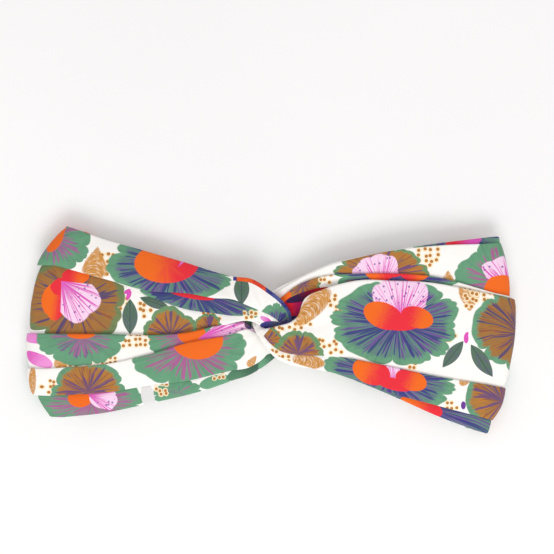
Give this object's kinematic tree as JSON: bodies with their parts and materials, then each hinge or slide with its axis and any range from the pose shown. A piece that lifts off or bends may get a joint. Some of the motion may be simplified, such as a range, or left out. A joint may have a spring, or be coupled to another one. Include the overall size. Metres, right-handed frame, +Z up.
{
  "type": "knotted headband",
  "caption": "Wide fabric headband: pleated printed bands cross in a front knot and join an elastic back.",
  "frame": {"origin": "bottom centre of the headband's box as it lies flat on its back casing", "axes": "+X to the right along the length, +Y to the upper edge, +Z up through the knot"},
  "size_m": [0.24, 0.1022, 0.0243],
  "materials": {
    "band_cloth_left": "plain-weave cotton, off-white ground with large green, ochre and orange flowers",
    "band_cloth_right": "plain-weave cotton, off-white ground with large green, ochre and orange flowers",
    "casing_cloth": "the same printed cotton, ruched over elastic",
    "elastic_webbing": "white woven elastic with fine ribs",
    "sewing_thread": "off-white spun polyester thread"
  },
  "bodies": {
    "casing": {"back_casing": "casing_cloth", "elastic": "elastic_webbing"},
    "back_left": {"left_band_upper_return": "band_cloth_left", "left_band_lower_return": "band_cloth_left", "left_casing_end": "casing_cloth", "left_elastic_end": "elastic_webbing", "left_join_stitches": "sewing_thread", "left_elastic_tack": "sewing_thread"},
    "end_left": {"left_band_upper_end": "band_cloth_left", "left_band_lower_end": "band_cloth_left"},
    "front_left": {"left_band_upper_leg": "band_cloth_left", "left_band_lower_leg": "band_cloth_left"},
    "loop_left": {"left_band_loop": "band_cloth_left"},
    "back_right": {"right_band_upper_return": "band_cloth_right", "right_band_lower_return": "band_cloth_right", "right_casing_end": "casing_cloth", "right_elastic_end": "elastic_webbing", "right_join_stitches": "sewing_thread", "right_elastic_tack": "sewing_thread"},
    "end_right": {"right_band_upper_end": "band_cloth_right", "right_band_lower_end": "band_cloth_right"},
    "front_right": {"right_band_upper_leg": "band_cloth_right", "right_band_lower_leg": "band_cloth_right"},
    "loop_right": {"right_band_loop": "band_cloth_right"}
  },
  "joints": [
    {"name": "left_casing_bend", "type": "hinge", "parent": "casing", "child": "back_left", "pos_m": [-0.04, 0, 0.005], "axis": [0, 1, 0], "range_deg": [0, 60]},
    {"name": "left_end_bend_back", "type": "hinge", "parent": "back_left", "child": "end_left", "pos_m": [-0.11, 0, 0.005], "axis": [0, -1, 0], "range_deg": [0, 60]},
    {"name": "left_end_bend_front", "type": "hinge", "parent": "end_left", "child": "front_left", "pos_m": [-0.11, 0, 0.01], "axis": [0, -1, 0], "range_deg": [0, 60]},
    {"name": "left_knot_bend", "type": "hinge", "parent": "front_left", "child": "loop_left", "pos_m": [-0.04, 0, 0.01], "axis": [0, 1, 0], "range_deg": [0, 60]},
    {"name": "right_casing_bend", "type": "hinge", "parent": "casing", "child": "back_right", "pos_m": [0.04, 0, 0.005], "axis": [0, -1, 0], "range_deg": [0, 60]},
    {"name": "right_end_bend_back", "type": "hinge", "parent": "back_right", "child": "end_right", "pos_m": [0.11, 0, 0.005], "axis": [0, 1, 0], "range_deg": [0, 60]},
    {"name": "right_end_bend_front", "type": "hinge", "parent": "end_right", "child": "front_right", "pos_m": [0.11, 0, 0.01], "axis": [0, 1, 0], "range_deg": [0, 60]},
    {"name": "right_knot_bend", "type": "hinge", "parent": "front_right", "child": "loop_right", "pos_m": [0.04, 0, 0.01], "axis": [0, -1, 0], "range_deg": [0, 60]}
  ],
  "couplings": [
    {"joint": "left_end_bend_back", "follows": "left_casing_bend", "ratio": 1},
    {"joint": "left_end_bend_front", "follows": "left_casing_bend", "ratio": 1},
    {"joint": "left_knot_bend", "follows": "left_casing_bend", "ratio": 1},
    {"joint": "right_casing_bend", "follows": "left_casing_bend", "ratio": 1},
    {"joint": "right_end_bend_back", "follows": "left_casing_bend", "ratio": 1},
    {"joint": "right_end_bend_front", "follows": "left_casing_bend", "ratio": 1},
    {"joint": "right_knot_bend", "follows": "left_casing_bend", "ratio": 1}
  ]
}
